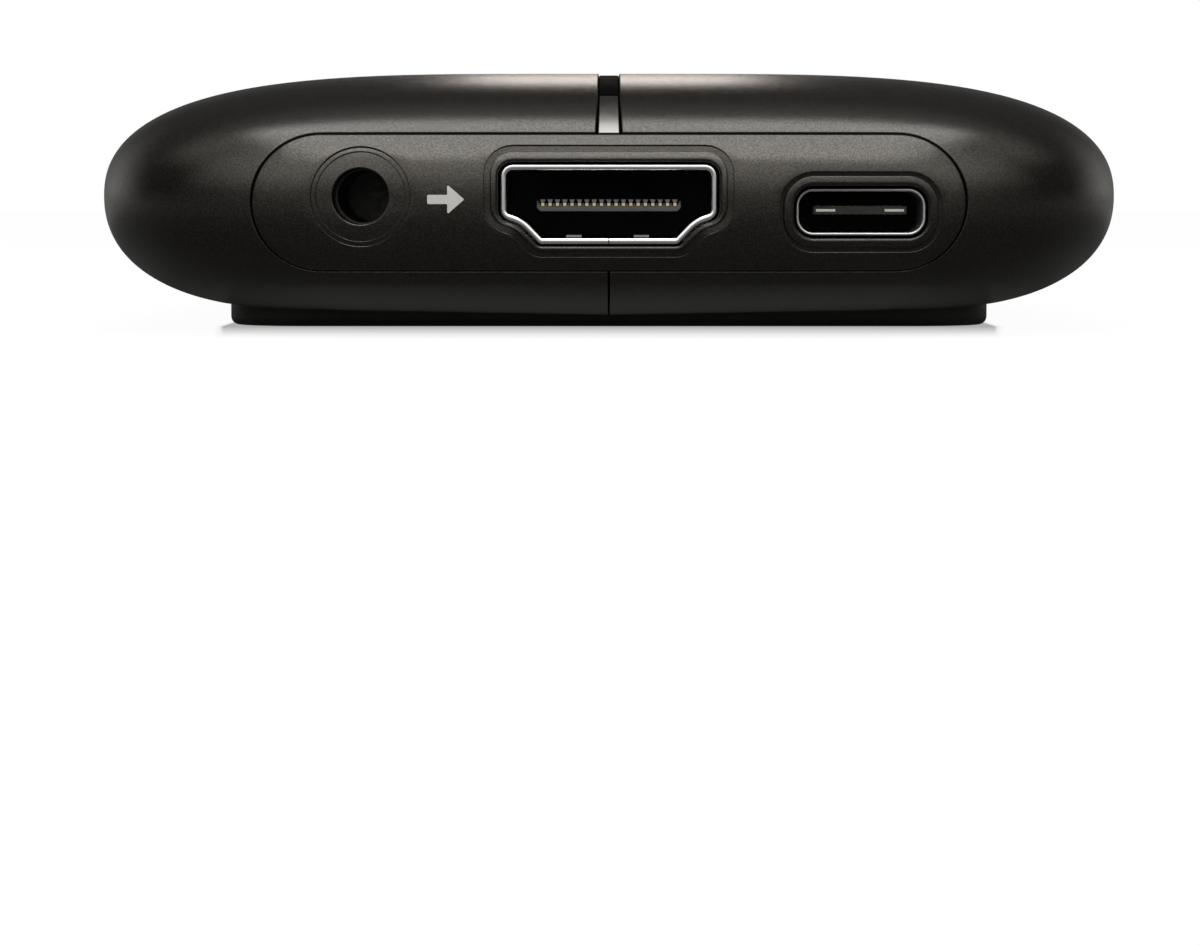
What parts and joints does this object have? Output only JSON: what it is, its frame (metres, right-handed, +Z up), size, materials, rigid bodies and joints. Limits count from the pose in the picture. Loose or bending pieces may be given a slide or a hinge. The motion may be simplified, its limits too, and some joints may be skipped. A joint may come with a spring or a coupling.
{
  "type": "video capture box",
  "caption": "Pebble-shaped video capture box of two painted shells with a gloss centre strip, flush port plates at both ends and a rubber foot.",
  "frame": {"origin": "middle of the underside of the foot pad, on the surface that the box stands on", "axes": "+X across the width, +Y along the length towards the output end, +Z up"},
  "size_m": [0.075, 0.112, 0.0187],
  "materials": {
    "housing_paint": "satin metallic paint with a fine grain",
    "gloss_black": "gloss",
    "light_guide": "satin, translucent",
    "foot_rubber": "matt",
    "frame_plastic": "matt",
    "board": "solder mask",
    "socket_metal": "bright plated",
    "socket_plastic": "matt",
    "contact_gold": "plated",
    "chip_plastic": "matt",
    "heat_metal": "satin",
    "thermal_rubber": "matt",
    "ceramic": "matt",
    "screw_steel": "plated"
  },
  "bodies": {
    "root": {"left_shell": "housing_paint", "right_shell": "housing_paint", "front_port_plate": "housing_paint", "rear_port_plate": "housing_paint", "centre_strip": "gloss_black", "front_light_guide": "light_guide", "rear_light_guide": "light_guide", "foot_pad": "foot_rubber", "inner_frame": "frame_plastic", "main_board": "board", "video_in_shell": "socket_metal", "video_in_insulator": "socket_plastic", "video_in_contacts": "contact_gold", "video_out_shell": "socket_metal", "video_out_insulator": "socket_plastic", "video_out_contacts": "contact_gold", "data_socket_shell": "socket_metal", "data_socket_insulator": "socket_plastic", "data_socket_contacts": "contact_gold", "audio_jack_body": "socket_plastic", "audio_jack_springs": "contact_gold", "capture_processor": "chip_plastic", "thermal_pad": "thermal_rubber", "heat_spreader": "heat_metal", "memory_chips": "chip_plastic", "video_receiver": "chip_plastic", "video_transmitter": "chip_plastic", "data_controller": "chip_plastic", "audio_converter": "chip_plastic", "shield_can": "socket_metal", "crystals": "socket_metal", "inductors": "chip_plastic", "capacitors": "ceramic", "status_lights": "light_guide", "case_screws": "screw_steel", "board_screws": "screw_steel"}
  },
  "joints": []
}
